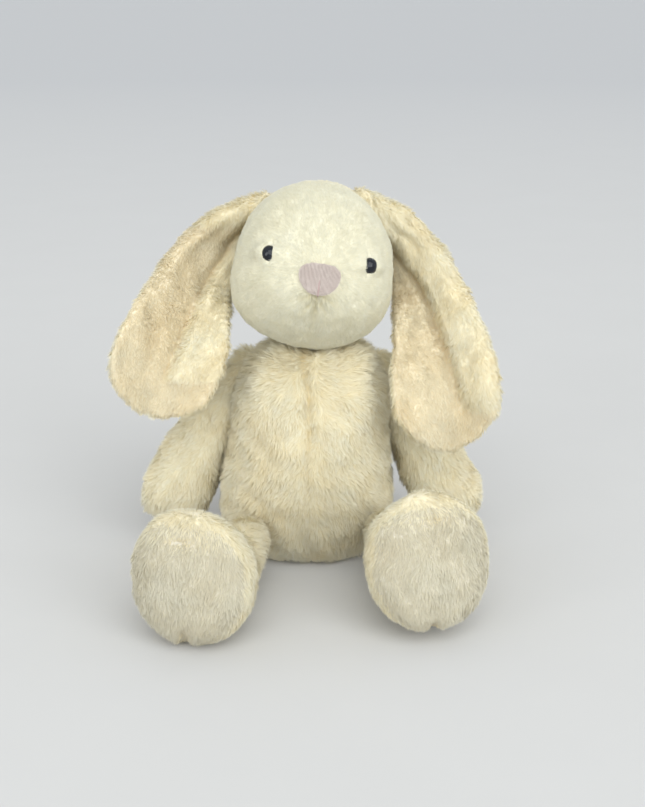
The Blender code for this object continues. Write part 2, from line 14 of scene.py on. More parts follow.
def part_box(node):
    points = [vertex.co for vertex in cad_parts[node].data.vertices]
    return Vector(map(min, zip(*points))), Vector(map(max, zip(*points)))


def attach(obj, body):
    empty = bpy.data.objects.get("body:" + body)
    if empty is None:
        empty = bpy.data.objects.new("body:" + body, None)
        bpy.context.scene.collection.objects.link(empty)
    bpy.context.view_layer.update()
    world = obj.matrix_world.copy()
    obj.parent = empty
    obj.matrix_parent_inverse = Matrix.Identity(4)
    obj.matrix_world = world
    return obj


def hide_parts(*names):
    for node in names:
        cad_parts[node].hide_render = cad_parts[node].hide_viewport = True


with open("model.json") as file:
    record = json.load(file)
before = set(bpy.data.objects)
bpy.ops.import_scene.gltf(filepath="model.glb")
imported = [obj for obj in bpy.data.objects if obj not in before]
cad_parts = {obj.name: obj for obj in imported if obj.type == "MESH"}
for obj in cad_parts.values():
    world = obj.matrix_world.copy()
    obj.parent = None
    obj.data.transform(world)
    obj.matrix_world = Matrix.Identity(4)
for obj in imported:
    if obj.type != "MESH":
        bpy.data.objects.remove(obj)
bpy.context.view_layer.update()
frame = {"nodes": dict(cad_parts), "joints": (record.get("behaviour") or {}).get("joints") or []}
SCENE = bpy.context.scene
MM = 0.001
FLOOR_CLEARANCE = 0.4 * MM  # no strand goes lower than this
STRAND_RINGS = (0.0, 0.5, 1.0)  # where a strand bends, as shares of its length
STRAND_TAPER = (1.0, 0.8, 0.0)
LOOSE = 0.22  # how far strands stray from the groom, in radians
BODY_DENSITY = 2.3  # strands per square millimetre
BODY_WIDTH = 0.34 * MM  # of one strand
BODY_VOXEL = 4 * MM


# ---- places, all read from the frame ----
def centre(node):
    low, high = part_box(node)
    return (low + high) / 2


def pivot(joint):
    return Vector(next(j["pos_m"] for j in frame["joints"] if j["name"] == joint))


def unit(v):
    v = np.asarray(v, float)
    return v / np.maximum(np.linalg.norm(v, axis=-1, keepdims=True), 1e-12)


def dots(a, b):
    return np.einsum("ij,ij->i", a, b)


def step(low, high, x):
    """0 below low, 1 above high and smooth between."""
    t = np.clip((np.asarray(x, float) - low) / (high - low), 0, 1)
    return t * t * (3 - 2 * t)


def near(points, spot, radius):
    """1 at the spot, falling smoothly to 0 at the radius."""
    away = np.linalg.norm(points - np.array(spot), axis=1)
    return 1 - step(0, radius, away)


def ripple(points, size, seed, waves=9):
    """A smooth random field of about -1..1 whose bumps are about the given size."""
    rng = np.random.default_rng(seed)
    direction = unit(rng.normal(size=(waves, 3)))
    pace = 2 * math.pi / size * rng.uniform(0.6, 1.5, waves)
    phase = rng.uniform(0, 2 * math.pi, waves)
    return np.sin(points @ (direction * pace[:, None]).T + phase).sum(1) / math.sqrt(waves) * 0.8


# ---- materials ----
class Nodes:
    """A short way to write a node tree."""

    def __init__(self, name):
        self.material = bpy.data.materials.new(name)
        self.material.use_nodes = True
        self.tree = self.material.node_tree
        self.tree.nodes.clear()

    def add(self, kind, inputs=None, **settings):
        node = self.tree.nodes.new(kind)
        for key, value in settings.items():
            setattr(node, key, value)
        for key, value in (inputs or {}).items():
            if isinstance(value, bpy.types.NodeSocket):
                self.tree.links.new(value, node.inputs[key])
            else:
                node.inputs[key].default_value = value
        return node

    def ramp(self, factor, *stops):
        node = self.add("ShaderNodeValToRGB", {"Fac": factor})
        elements = node.color_ramp.elements
        while len(elements) < len(stops):
            elements.new(0.5)
        for element, (position, colour) in zip(elements, stops):
            element.position = position
            element.color = (*colour, 1)
        return node.outputs["Color"]

    def mix(self, factor, first, second, blend="MIX"):
        node = self.add("ShaderNodeMix", data_type="RGBA", blend_type=blend)
        sockets = (node.inputs["Factor"], node.inputs[6], node.inputs[7])
        for socket, value in zip(sockets, (factor, first, second)):
            if isinstance(value, bpy.types.NodeSocket):
                self.tree.links.new(value, socket)
            else:
                socket.default_value = (*value, 1) if isinstance(value, tuple) else value
        return node.outputs[2]

    def place(self):
        return self.add("ShaderNodeTexCoord").outputs["Object"]

    def noise(self, scale, detail=3.0, roughness=0.55):
        inputs = {"Vector": self.place(), "Scale": scale, "Detail": detail, "Roughness": roughness}
        return self.add("ShaderNodeTexNoise", inputs).outputs["Fac"]

    def waves(self, scale, direction, distortion, detail=2.0):
        inputs = {"Scale": scale, "Distortion": distortion, "Detail": detail}
        return self.add("ShaderNodeTexWave", inputs, bands_direction=direction).outputs["Fac"]

    def spread(self, value, low, high, out_low=0.0, out_high=1.0):
        inputs = {"Value": value, "From Min": low, "From Max": high, "To Min": out_low, "To Max": out_high}
        return self.add("ShaderNodeMapRange", inputs).outputs["Result"]

    def bump(self, height, strength, distance):
        inputs = {"Height": height, "Strength": strength, "Distance": distance}
        return self.add("ShaderNodeBump", inputs).outputs["Normal"]

    def principled(self, colour, roughness, **others):
        """A Principled shader. In the names of its other inputs an underscore stands for a space."""
        inputs = {"Base Color": colour, "Roughness": roughness}
        inputs.update({name.replace("_", " "): value for name, value in others.items()})
        return self.add("ShaderNodeBsdfPrincipled", inputs).outputs[0]

    def finish(self, shader):
        self.add("ShaderNodeOutputMaterial", {"Surface": shader})
        return self.material


PILE_GLOW = 0.3  # the share of light that passes through a strand


def pile_material(name, root, body, tip, shade):
    """Pile strands: darker and warmer at the root as painted shade deep in the pile, paler at the tip, tinted
    strand by strand and in soft patches, and darkened as painted shade in seams and creases.
    """
    m = Nodes(name)
    along = m.add("ShaderNodeAttribute", attribute_name="along").outputs["Fac"]
    tone_and_crease_shade = m.add("ShaderNodeAttribute", attribute_name="tone_and_crease_shade").outputs["Fac"]
    # the darker, warmer root colour is painted shade deep in the pile
    colour = m.ramp(along, (0.0, root), (0.45, body), (1.0, tip))
    # the strand's tone mixes in the shade colour: a random tint by tuft and strand, plus painted shade in
    # seams, creases and grooves
    colour = m.mix(m.spread(tone_and_crease_shade, 0.0, 1.0, 0.0, 0.9), colour, shade, "MULTIPLY")
    patches = m.spread(m.noise(38.0, 2.0), 0.42, 0.72, 0.0, 0.16)
    colour = m.mix(patches, colour, shade, "MULTIPLY")
    shiny = m.spread(m.noise(900.0, 1.0), 0.3, 0.7, 0.55, 0.8)
    fibre = m.principled(colour, shiny, Specular_IOR_Level=0.25, Sheen_Weight=0.25, Sheen_Roughness=0.5)
    through = m.add("ShaderNodeBsdfTranslucent", {"Color": colour}).outputs[0]
    mixed = m.add("ShaderNodeMixShader", {0: PILE_GLOW, 1: fibre, 2: through})
    return m.finish(mixed.outputs[0])


def backing_material(name, deep, pale):
    """The knitted backing between the strands, with the soft mottling of crushed pile."""
    m = Nodes(name)
    mottle = m.spread(m.noise(260.0, 4.0, 0.7), 0.3, 0.7)
    broad = m.spread(m.noise(45.0, 2.0), 0.35, 0.7, 0.0, 0.5)
    colour = m.mix(broad, m.ramp(mottle, (0.0, deep), (1.0, pale)), deep)
    nap = m.noise(1500.0, 2.0, 0.6)
    rough = m.spread(nap, 0.3, 0.7, 0.8, 0.98)
    relief = m.bump(nap, 0.6, 0.8 * MM)
    return m.finish(m.principled(colour, rough, Specular_IOR_Level=0.15, Sheen_Weight=0.3, Normal=relief))


def eye_material():
    m = Nodes("polished_black_plastic")
    smudge = m.noise(420.0, 3.0)
    colour = m.ramp(smudge, (0.3, (0.004, 0.005, 0.008)), (0.8, (0.012, 0.015, 0.022)))
    rough = m.spread(smudge, 0.3, 0.7, 0.04, 0.12)
    return m.finish(m.principled(colour, rough, Specular_IOR_Level=0.4))


def thread_material(name, dark, pale):
    """Twisted thread: fine slanting plies, a silky shine, and thread-to-thread colour."""
    m = Nodes(name)
    plies = m.waves(260.0, "DIAGONAL", 2.0, 1.0)
    colour = m.mix(m.spread(m.noise(330.0, 2.0), 0.3, 0.7, 0.62, 1.0), dark, pale)
    colour = m.mix(m.spread(plies, 0.0, 1.0, 0.0, 0.25), colour, dark, "MULTIPLY")
    rough = m.spread(plies, 0.0, 1.0, 0.45, 0.65)
    relief = m.bump(plies, 0.35, 0.2 * MM)
    silky = {"Sheen_Weight": 0.4, "Sheen_Roughness": 0.35, "Anisotropic": 0.5}
    return m.finish(m.principled(colour, rough, Normal=relief, **silky))


def satin_material():
    m = Nodes("woven_satin")
    weft, warp = m.waves(420.0, "Z", 0.3), m.waves(300.0, "X", 0.3)
    weave = m.add("ShaderNodeMath", {0: weft, 1: warp}, operation="MULTIPLY").outputs[0]
    colour = m.ramp(weave, (0.0, (0.74, 0.73, 0.70)), (0.6, (0.86, 0.86, 0.84)))
    rough = m.spread(weave, 0.0, 1.0, 0.5, 0.3)
    return m.finish(m.principled(colour, rough, Sheen_Weight=0.3, Normal=m.bump(weave, 0.4, 0.2 * MM)))


def floor_material():
    """Matt paper, painted a little darker and cooler far from the rabbit, as shade where the lights fall off.
    """
    m = Nodes("seamless_paper")
    away = m.add("ShaderNodeVectorMath", {0: m.place()}, operation="LENGTH").outputs["Value"]
    near_by = m.ramp(m.noise(9.0, 3.0), (0.3, (0.62, 0.615, 0.605)), (0.7, (0.63, 0.625, 0.615)))
    # painted shade: the paper's colour darkens and cools out to 4 m from the middle
    colour = m.mix(m.spread(away, 0.2, 4.0), near_by, (0.545, 0.55, 0.56))
    return m.finish(m.principled(colour, 0.95, Specular_IOR_Level=0.02))


CREAM = ((0.86, 0.80, 0.59), (0.895, 0.86, 0.70), (0.91, 0.89, 0.775))
PILE = pile_material("cream_pile", *CREAM, shade=(0.94, 0.80, 0.50))
VELVET = ((0.775, 0.74, 0.58), (0.80, 0.785, 0.655), (0.815, 0.81, 0.72))
FACE_PILE = pile_material("cream_face_pile", *VELVET, shade=(0.95, 0.87, 0.64))
# painted shade: the soles' pile and backing are a darker, greyer copy of the cream, as the soles get less
# light
SOLE_SHADED_CREAM = ((0.68, 0.635, 0.485), (0.72, 0.685, 0.55), (0.745, 0.715, 0.61))
SHADED_SOLE_PILE = pile_material("shaded_sole_pile", *SOLE_SHADED_CREAM, shade=(0.94, 0.84, 0.66))
# the ear lining's pile and backing: a slight beige tint of its own, and a darker copy of the cream as painted
# shade in the ear's hollow
BEIGE_AND_SHADE = ((0.80, 0.71, 0.49), (0.875, 0.81, 0.63), (0.89, 0.855, 0.705))
LINING_PILE = pile_material("beige_shaded_lining_pile", *BEIGE_AND_SHADE, shade=(0.94, 0.80, 0.54))
BACKING = backing_material("cream_backing", (0.79, 0.71, 0.50), (0.87, 0.81, 0.63))
FACE_BACKING = backing_material("cream_face_backing", (0.72, 0.675, 0.50), (0.79, 0.755, 0.61))
SHADED_SOLE_BACKING = backing_material("shaded_sole_backing", (0.58, 0.53, 0.41), (0.68, 0.64, 0.53))
LINING_BACKING = backing_material("beige_shaded_backing", (0.76, 0.67, 0.48), (0.86, 0.79, 0.62))
BLACK = eye_material()
PINK = thread_material("pink_satin_thread", (0.45, 0.35, 0.31), (0.62, 0.54, 0.49))
DEEP_PINK = thread_material("deep_pink_thread", (0.34, 0.22, 0.21), (0.50, 0.36, 0.34))
THREAD = thread_material("cream_sewing_thread", (0.66, 0.57, 0.40), (0.84, 0.77, 0.60))
SATIN = satin_material()


# ---- meshes ----
def new_object(name, mesh, *materials):
    mesh.name = name
    piece = bpy.data.objects.new(name, mesh)
    SCENE.collection.objects.link(piece)
    for material in materials:
        mesh.materials.append(material)
    return piece


def mesh_from(bm, name):
    mesh = bpy.data.meshes.new(name)
    bm.to_mesh(mesh)
    bm.free()
    return mesh


def vectors(collection, key):
    """One row for each member of a mesh's collection."""
    flat = np.empty(len(collection) * 3)
    collection.foreach_get(key, flat)
    return flat.reshape(-1, 3)


def coordinates(mesh):
    return vectors(mesh.vertices, "co")


def normals_of(mesh):
    return vectors(mesh.vertex_normals, "vector")


def shade_smooth(mesh):
    mesh.polygons.foreach_set("use_smooth", [True] * len(mesh.polygons))


def tree_of(node):
    """A CAD node's surface, for nearest points and rays."""
    mesh = frame["nodes"][node].data
    return BVHTree.FromPolygons([v.co for v in mesh.vertices], [tuple(p.vertices) for p in mesh.polygons])


def stand_for(piece, body, nodes):
    """The piece moves with a body and is seen in place of CAD nodes."""
    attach(piece, body)
    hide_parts(*nodes)


def place_points(mesh, points):
    mesh.vertices.foreach_set("co", np.asarray(points, float).ravel())
    mesh.update()


def applied(piece):
    """Replaces the piece's mesh by what its modifiers make of it."""
    graph = bpy.context.evaluated_depsgraph_get()
    made = bpy.data.meshes.new_from_object(piece.evaluated_get(graph), depsgraph=graph)
    piece.modifiers.clear()
    old, piece.data = piece.data, made
    bpy.data.meshes.remove(old)
    made.name = piece.name
    return piece


def keep_outer_shell(mesh):
    """The remesh of a hollow cover also has inner walls. Only the shell with the largest box stays."""
    bm = bmesh.new()
    bm.from_mesh(mesh)
    todo = set(bm.verts)
    best, best_size = None, 0
    while todo:
        shell, front = set(), [todo.pop()]
        while front:
            vert = front.pop()
            shell.add(vert)
            for edge in vert.link_edges:
                other = edge.other_vert(vert)
                if other in todo:
                    todo.discard(other)
                    front.append(other)
        size = np.linalg.norm(np.ptp([v.co for v in shell], axis=0))
        if size > best_size:
            best, best_size = shell, size
    bmesh.ops.delete(bm, geom=[v for v in bm.verts if v not in best], context="VERTS")
    bm.to_mesh(mesh)
    bm.free()


def cover(name, nodes, voxel, material):
    """A closed skin with even faces round the outside of some CAD nodes."""
    bm = bmesh.new()
    for node in nodes:
        bm.from_mesh(frame["nodes"][node].data)
    bmesh.ops.remove_doubles(bm, verts=bm.verts, dist=0.01 * MM)
    piece = new_object(name, mesh_from(bm, name))
    remesh = piece.modifiers.new("remesh", "REMESH")
    remesh.mode = "VOXEL"
    remesh.voxel_size = voxel
    applied(piece)
    keep_outer_shell(piece.data)
    piece.data.materials.clear()
    piece.data.materials.append(material)
    smooth = piece.modifiers.new("smooth", "SMOOTH")
    smooth.factor = 0.5
    smooth.iterations = 4
    applied(piece)
    return piece


def stuff(jobs):
    """Blows all the covers up with one cloth simulation. A job is (piece, held points 0..1, largest move)."""
    rest = {}
    for piece, held, _ in jobs:
        rest[piece.name] = coordinates(piece.data)
        group = piece.vertex_groups.new(name="sewn")
        for index, weight in enumerate(held):
            if weight > 0.01:
                group.add([index], float(weight), "REPLACE")
        cloth = piece.modifiers.new("stuffing", "CLOTH")
        cloth.settings.quality = 4
        cloth.settings.mass = 0.25
        cloth.settings.tension_stiffness = 8
        cloth.settings.compression_stiffness = 8
        cloth.settings.bending_stiffness = 0.6
        cloth.settings.vertex_group_mass = "sewn"
        cloth.settings.use_pressure = True
        cloth.settings.uniform_pressure_force = 4
        cloth.settings.effector_weights.gravity = 0
    for number in range(1, 21):
        SCENE.frame_set(number)
    graph = bpy.context.evaluated_depsgraph_get()
    blown = {}
    for piece, _, _ in jobs:
        blown[piece.name] = coordinates(piece.evaluated_get(graph).data)
    for piece, _, cap in jobs:
        piece.modifiers.clear()
        piece.vertex_groups.clear()
        move = blown[piece.name] - rest[piece.name]
        size = np.linalg.norm(move, axis=1, keepdims=True)
        place_points(piece.data, rest[piece.name] + move * np.minimum(1, cap / np.maximum(size, 1e-9)))
    SCENE.frame_set(1)


def refine(piece):
    """One subdivision after the simulation, and smooth shading."""
    piece.modifiers.new("finer", "SUBSURF").levels = 1
    applied(piece)
    shade_smooth(piece.data)


def finer(piece, close, times):
    """Divides the faces whose corners all pass close(points), for small shapes."""
    for _ in range(times):
        bm = bmesh.new()
        bm.from_mesh(piece.data)
        inside = close(coordinates(piece.data))
        edges = [edge for edge in bm.edges if inside[edge.verts[0].index] and inside[edge.verts[1].index]]
        bmesh.ops.subdivide_edges(bm, edges=edges, cuts=1, use_grid_fill=True)
        bm.to_mesh(piece.data)
        bm.free()
    shade_smooth(piece.data)
    piece.data.update()


def face_middles(piece):
    """The middle and the normal of each face."""
    return vectors(piece.data.polygons, "center"), vectors(piece.data.polygons, "normal")


def push(piece, amount):
    """Moves a skin along its normals by amount(points, normals), and keeps it off the floor."""
    points, normals = coordinates(piece.data), normals_of(piece.data)
    points = points + normals * amount(points, normals)[:, None]
    points[:, 2] = np.maximum(points[:, 2], 2 * FLOOR_CLEARANCE)
    place_points(piece.data, points)


# ---- pile ----
def roots_on(piece, per_mm2, rng, keep):
    """Random points on a skin, spread evenly by area, with smooth normals."""
    mesh = piece.data
    mesh.calc_loop_triangles()
    corners = np.empty(len(mesh.loop_triangles) * 3, np.int64)
    mesh.loop_triangles.foreach_get("vertices", corners)
    corners = corners.reshape(-1, 3)
    points, normals = coordinates(mesh), normals_of(mesh)
    a, b, c = (points[corners[:, k]] for k in range(3))
    area = np.linalg.norm(np.cross(b - a, c - a), axis=1) / 2
    count = int(area.sum() / MM**2 * per_mm2)
    chosen = rng.choice(len(area), count, p=area / area.sum())
    u, v = rng.random(count), rng.random(count)
    flip = u + v > 1
    u[flip], v[flip] = 1 - u[flip], 1 - v[flip]
    weights = np.stack([1 - u - v, u, v], 1)
    roots = np.einsum("ik,ikj->ij", weights, points[corners[chosen]])
    outward = unit(np.einsum("ik,ikj->ij", weights, normals[corners[chosen]]))
    kept = keep(roots, outward)
    return roots[kept], outward[kept]


def comb(roots, outward, groom, rng):
    """Each strand's rings as an array (strand, ring, 3), and what the groom says."""
    g = groom(roots, outward)
    even = g.get("even", 1.0)
    flow = unit(g["flow"] - outward * dots(g["flow"], outward)[:, None])
    side = np.cross(outward, flow)
    turn = g.get("swirl", 0) + even * rng.normal(0, LOOSE, len(roots))
    flow = flow * np.cos(turn)[:, None] + side * np.sin(turn)[:, None]
    lift = np.clip(g["lift"] + even * rng.normal(0, 0.14, len(roots)), 0.05, 1.5)
    length = g["length"] * rng.uniform(0.7, 1.15, len(roots))
    rings = [roots - outward * 0.3 * MM]
    for k in range(1, len(STRAND_RINGS)):
        bend = lift * (1.25 - 0.45 * k / (len(STRAND_RINGS) - 1))
        heading = outward * np.sin(bend)[:, None] + flow * np.cos(bend)[:, None]
        rings.append(rings[-1] + heading * (length * (STRAND_RINGS[k] - STRAND_RINGS[k - 1]))[:, None])
    return np.stack(rings, 1), g


def gather_tufts(rings, roots, pull, tuft, rng):
    """Draws neighbouring strands together towards their tips, as pile clumps."""
    count = max(1, len(roots) // tuft)
    leaders = rng.choice(len(roots), count, replace=False)
    tree = KDTree(count)
    for k, leader in enumerate(leaders):
        tree.insert(roots[leader], k)
    tree.balance()
    nearest = np.array([tree.find(root)[1] for root in roots])
    lead = rings[leaders[nearest]]
    share = np.array(STRAND_RINGS)[None, :, None] ** 1.4
    own = (pull * rng.uniform(0.45, 1.0, len(roots)))[:, None, None]
    lead_length = lead - lead[:, :1] + rings[:, :1] * 0.35 + lead[:, :1] * 0.65
    return rings + (lead_length - rings) * share * own, nearest


def strands_mesh(name, rings, outward, width, tone_and_crease_shade, rng):
    """Tapering blades along the rings, with the smooth shading of the skin and a UV cell for each strand."""
    count, levels = rings.shape[:2]
    ahead = np.gradient(rings, axis=1)
    ahead = unit(ahead.reshape(-1, 3)).reshape(count, levels, 3)
    across = np.cross(ahead, outward[:, None, :])
    across = unit(across.reshape(-1, 3)).reshape(count, levels, 3)
    face = np.cross(across, ahead)
    roll = rng.uniform(-0.9, 0.9, count)[:, None, None]
    across = across * np.cos(roll) + face * np.sin(roll)
    half = (width * rng.uniform(0.7, 1.3, count))[:, None, None] / 2 * np.array(STRAND_TAPER)[None, :, None]
    left, right = rings - across * half, rings + across * half
    points = np.concatenate([np.stack([left, right], 2)[:, :-1].reshape(count, -1, 3), rings[:, -1:]], 1)
    per = points.shape[1]
    points = points.reshape(-1, 3)
    points[:, 2] = np.maximum(points[:, 2], FLOOR_CLEARANCE)

    quads = levels - 2
    first = (np.arange(count) * per)[:, None]
    corners = np.concatenate(
        [first + np.array([2 * k, 2 * k + 1, 2 * k + 3, 2 * k + 2])[None] for k in range(quads)]
        + [first + np.array([2 * quads, 2 * quads + 1, 2 * quads + 2])[None]],
        1,
    ).ravel()
    sizes = np.tile(np.array([4] * quads + [3]), count)
    mesh = bpy.data.meshes.new(name)
    mesh.vertices.add(len(points))
    mesh.vertices.foreach_set("co", points.ravel())
    mesh.loops.add(len(corners))
    mesh.loops.foreach_set("vertex_index", corners.astype(np.int32))
    mesh.polygons.add(len(sizes))
    starts = np.concatenate([[0], np.cumsum(sizes)[:-1]])
    mesh.polygons.foreach_set("loop_start", starts.astype(np.int32))

    along = np.concatenate([np.repeat(STRAND_RINGS[:-1], 2), [1.0]])
    cells = math.ceil(math.sqrt(count))
    column, row = np.arange(count) % cells, np.arange(count) // cells
    sideways = np.concatenate([np.tile([0.25, 0.75], levels - 1), [0.5]])
    u = (column[:, None] + sideways[None]) / cells
    v = (row[:, None] + 0.15 + 0.7 * along[None]) / cells
    uv = np.stack([u, v], 2).reshape(-1, 2)[corners]
    mesh.uv_layers.new(name="OFBake").data.foreach_set("uv", uv.ravel())
    mesh.attributes.new("along", "FLOAT", "POINT").data.foreach_set("value", np.tile(along, count))
    # each strand's tone: a random tint plus painted shade in seams, creases and grooves
    mesh.attributes.new("tone_and_crease_shade", "FLOAT", "POINT").data.foreach_set("value", np.repeat(tone_and_crease_shade, per))
    mesh.update()
    mesh.validate()
    soft = unit(0.6 * outward[:, None, :] + 0.4 * np.cross(across, ahead))
    soft = np.concatenate([np.repeat(soft[:, :-1], 2, axis=1), soft[:, -1:]], 1).reshape(-1, 3)
    shade_smooth(mesh)
    mesh.normals_split_custom_set_from_vertices(unit(soft).tolist())
    return mesh


def everywhere(points, outward):
    return np.full(len(points), True)


def pile(name, skin, body, groom, material, per_mm2, width, seed, keep=everywhere, tuft=13, pull=0.65):
    """Plants strands on a skin as one piece that rides on its body. A tuft is about so many strands."""
    rng = np.random.default_rng(seed)
    roots, outward = roots_on(skin, per_mm2 * (1.0), rng, keep)
    rings, g = comb(roots, outward, groom, rng)
    rings, clump = gather_tufts(rings, roots, pull * np.ones(len(roots)) * g.get("pull", 1.0), tuft, rng)
    by_tuft = np.random.default_rng(seed + 1).random(clump.max() + 1)[clump]
    spotted = g.get("even", 1.0) * (0.20 * by_tuft + 0.15 * rng.random(len(roots)))
    # a random tint by tuft and strand, plus the groom's painted shade in seams, creases and grooves
    tone_and_crease_shade = np.clip(spotted + g.get("tint_and_crease_shade", 0.0), 0, 1)
    wide = width * 1.0 * g.get("wide", 1.0) * np.ones(len(roots))
    piece = new_object(name, strands_mesh(name, rings, outward, wide, tone_and_crease_shade, rng), material)
    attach(piece, body)


# ---- torso ----
TORSO_PANELS = ("torso_front_left_panel", "torso_front_right_panel", "torso_back_panel")
TORSO_PARTS = (*TORSO_PANELS, "torso_filling", "seat_bean_bag")
BELLY_SEAM_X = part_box("torso_front_left_panel")[0].x
SIDE_SEAM_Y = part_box("torso_back_panel")[0].y
TORSO_LOW, TORSO_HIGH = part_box("torso_front_left_panel")


def belly_seam(points, width):
    """1 on the centre seam of the belly, which wanders a little, and 0 beyond the width."""
    away = points[:, 0] - BELLY_SEAM_X - 1.1 * MM * ripple(points, 0.022, 12)
    return (1 - step(0, width, np.abs(away))) * (points[:, 1] < SIDE_SEAM_Y)


def torso_height(points):
    return (points[:, 2] - TORSO_LOW.z) / (TORSO_HIGH.z - TORSO_LOW.z)


def torso_groom(points, outward):
    height = torso_height(points)
    front = 1 - step(-0.02, 0.02, points[:, 1])
    away = np.sign(points[:, 0] - BELLY_SEAM_X) * step(0, 0.02, np.abs(points[:, 0] - BELLY_SEAM_X))
    flow = np.zeros_like(points)
    flow[:, 0] = away * (0.35 + 0.9 * step(0.65, 1.0, height)) * front + 0.3 * ripple(points, 0.035, 3)
    flow[:, 1] = 0.2 * ripple(points, 0.04, 4)
    flow[:, 2] = -1 + 0.9 * step(0.72, 1.0, height) * front
    broken = 0.65 + 0.35 * ripple(points, 0.009, 13)
    seam = belly_seam(points, 4 * MM) * broken
    chest = step(0.8, 1.0, height)
    return {
        "flow": flow,
        "lift": 0.74 + 0.22 * ripple(points, 0.022, 5) + 0.3 * seam + 0.2 * chest,
        "length": (6.0 + 1.1 * ripple(points, 0.016, 6)) * MM * (1 - 0.25 * seam + 0.4 * chest),
        "swirl": 0.5 * ripple(points, 0.014, 7),
        # a random tint, and painted shade darkening the strands along the parted belly seam
        "tint_and_crease_shade": 0.08 * ripple(points, 0.03, 8) + 0.6 * seam * step(0.35, 0.8, height),
    }


def torso_shape(points, outward):
    height = torso_height(points)
    shoulders = step(0.5, 0.82, height) * step(0.1, 0.6, np.abs(outward[:, 0]))
    chest = step(0.8, 1.0, height) * step(0.0, 0.5, -outward[:, 1])
    collar = step(0.90, 0.98, height) * step(0.2, 0.8, outward[:, 2])  # meets the head
    seam = belly_seam(points, 6 * MM) * (0.6 + 0.4 * step(0.3, 0.7, height))
    return (6.5 * shoulders + 2.5 * chest + 3.5 * collar - 2.2 * seam + 0.8 * ripple(points, 0.018, 11)) * MM


def dress_torso(skin):
    push(skin, torso_shape)
    stand_for(skin, "torso", TORSO_PARTS)
    sides = {
        "torso_front_left_pile": lambda p, n: (p[:, 1] < SIDE_SEAM_Y) & (p[:, 0] >= BELLY_SEAM_X),
        "torso_front_right_pile": lambda p, n: (p[:, 1] < SIDE_SEAM_Y) & (p[:, 0] < BELLY_SEAM_X),
        "torso_back_pile": lambda p, n: p[:, 1] >= SIDE_SEAM_Y,
    }
    for seed, (name, keep) in enumerate(sides.items()):
        pile(name, skin, "torso", torso_groom, PILE, BODY_DENSITY, BODY_WIDTH, 100 + seed, keep)


# ---- tail ----
TAIL_PARTS = ("tail_cover", "tail_filling")


def dress_tail(skin):
    middle = np.array(centre("tail_filling"))

    def groom(points, outward):
        flow = points - middle
        flow[:, 2] -= 10 * MM
        return {
            "flow": flow,
            "lift": 0.9 + 0.2 * ripple(points, 0.02, 15),
            "length": 8.5 * MM * np.ones(len(points)),
        }

    stand_for(skin, "torso", TAIL_PARTS)
    pile("tail_pile", skin, "torso", groom, PILE, 2.4, 0.30 * MM, 120)


# ---- head ----
HEAD_PANELS = ("head_left_panel", "head_right_panel", "head_back_panel")
HEAD_PARTS = (*HEAD_PANELS, "head_filling", "left_eye_washer", "right_eye_washer")
HEAD_MIDDLE = np.array(centre("head_filling"))
HEAD_SEAM_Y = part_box("head_back_panel")[0].y
EYES = {side: np.array(centre(f"{side}_eye")) for side in ("left", "right")}
FACE_X = unit(EYES["left"] - EYES["right"])


def nose_facing():
    """Which way the front of the nose faces, from its area-weighted front faces."""
    total = Vector((0, 0, 0))
    for face in frame["nodes"]["nose_embroidery"].data.polygons:
        if face.normal.y < -0.3:
            total += face.normal * face.area
    return unit(np.array(total))


NOSE = np.array(centre("nose_embroidery"))
NOSE_LOW, NOSE_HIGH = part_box("nose_embroidery")
NOSE_HALF_WIDTH = (NOSE_HIGH.x - NOSE_LOW.x) / 2
NOSE_HALF_HEIGHT = (NOSE_HIGH.z - NOSE_LOW.z) / 2
NOSE_OUT = unit(nose_facing() - FACE_X * float(nose_facing() @ FACE_X))
NOSE_UP = np.cross(NOSE_OUT, FACE_X)


def on_face(points):
    """Sideways and upward distance from the middle of the nose, and how far in front of the head's middle."""
    away = points - NOSE
    return away @ FACE_X, away @ NOSE_UP, (points - HEAD_MIDDLE) @ NOSE_OUT


def muzzle_crease(points, width):
    """1 on the seam that runs from the nose down to the chin."""
    x, z, front = on_face(points)
    fading = (1 - 0.4 * step(18 * MM, 26 * MM, -z)) * (1 - step(26 * MM, 38 * MM, -z))
    down = step(3 * MM, 6 * MM, -z) * fading
    return (1 - step(0, width, np.abs(x))) * down * (front > 0)


def under_the_nose(points):
    """Distance from the nose's lower tip and the angle from straight down, on the front of the head."""
    x, z, front = on_face(points)
    z = z + NOSE_HALF_HEIGHT - 2 * MM
    return np.hypot(x, z), np.arctan2(x, -z), front > 0


def gathers(points):
    """-1..1: the folds that fan out under the nose; the deepest runs straight down to the chin."""
    away, angle, front = under_the_nose(points)
    reach = step(1.5 * MM, 4 * MM, away) * (1 - step(8 * MM, 19 * MM, away))
    folds = -np.cos(11 * angle + 0.6 * np.sin(3 * angle))
    return folds * reach * (1 - step(1.0, 1.6, np.abs(angle))) * front


def beside_eye(points, eye):
    """Distances from an eye along the face and up it."""
    away = points - eye
    return away @ FACE_X, away @ NOSE_UP, np.linalg.norm(away, axis=1) < 16 * MM


def head_shape(points, outward):
    amount = 0.35 * MM * gathers(points) - 2.0 * MM * muzzle_crease(points, 4.5 * MM)
    for eye in EYES.values():
        sideways, upward, close = beside_eye(points, eye)
        inner = sideways * eye[0] < 0
        slit = np.where(inner, 0.8, 1.6) * MM * np.clip(1 - (upward / (5 * MM)) ** 2, -0.7, 1)
        beyond = np.abs(sideways) - slit
        lids = step(0, 1.7 * MM, beyond) * (1 - step(2.6 * MM, 12 * MM, beyond))
        height = np.where(inner, 3.0, 4.4) * MM
        amount += height * lids * np.exp(-((upward / np.where(inner, 4.2 * MM, 5.4 * MM)) ** 2)) * close
    return amount + (0.25 * ripple(points, 0.012, 21) + 0.9 * ripple(points, 0.06, 22)) * MM


